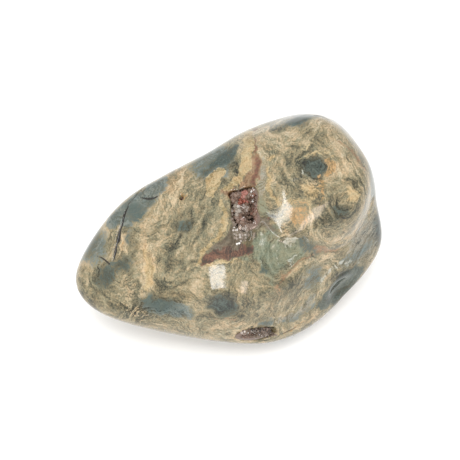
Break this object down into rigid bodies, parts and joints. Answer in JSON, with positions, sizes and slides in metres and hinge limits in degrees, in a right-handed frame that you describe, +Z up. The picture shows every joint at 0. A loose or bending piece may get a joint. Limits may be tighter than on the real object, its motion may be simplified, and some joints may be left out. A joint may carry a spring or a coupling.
{
  "type": "tumbled ocean jasper stone",
  "caption": "Polished, tumbled ocean jasper: a rounded wedge-shaped stone with a proud round lobe and crystal-lined pockets, lying on a small worn flat.",
  "frame": {"origin": "middle of the stone's length and width, on the ground under its worn flat", "axes": "+X along the stone's length, from the narrow end to the end with the round lobe; +Z up, out of the worn flat; the best face looks up and towards -Y"},
  "size_m": [0.0438, 0.029, 0.0251],
  "materials": {
    "jasper": "polished, banded and spotted tan, grey-green and teal",
    "quartz": "small translucent grey and red crystal points with bright faces"
  },
  "bodies": {
    "root": {"stone": "jasper", "druse": "quartz", "lower_druse": "quartz"}
  },
  "joints": []
}
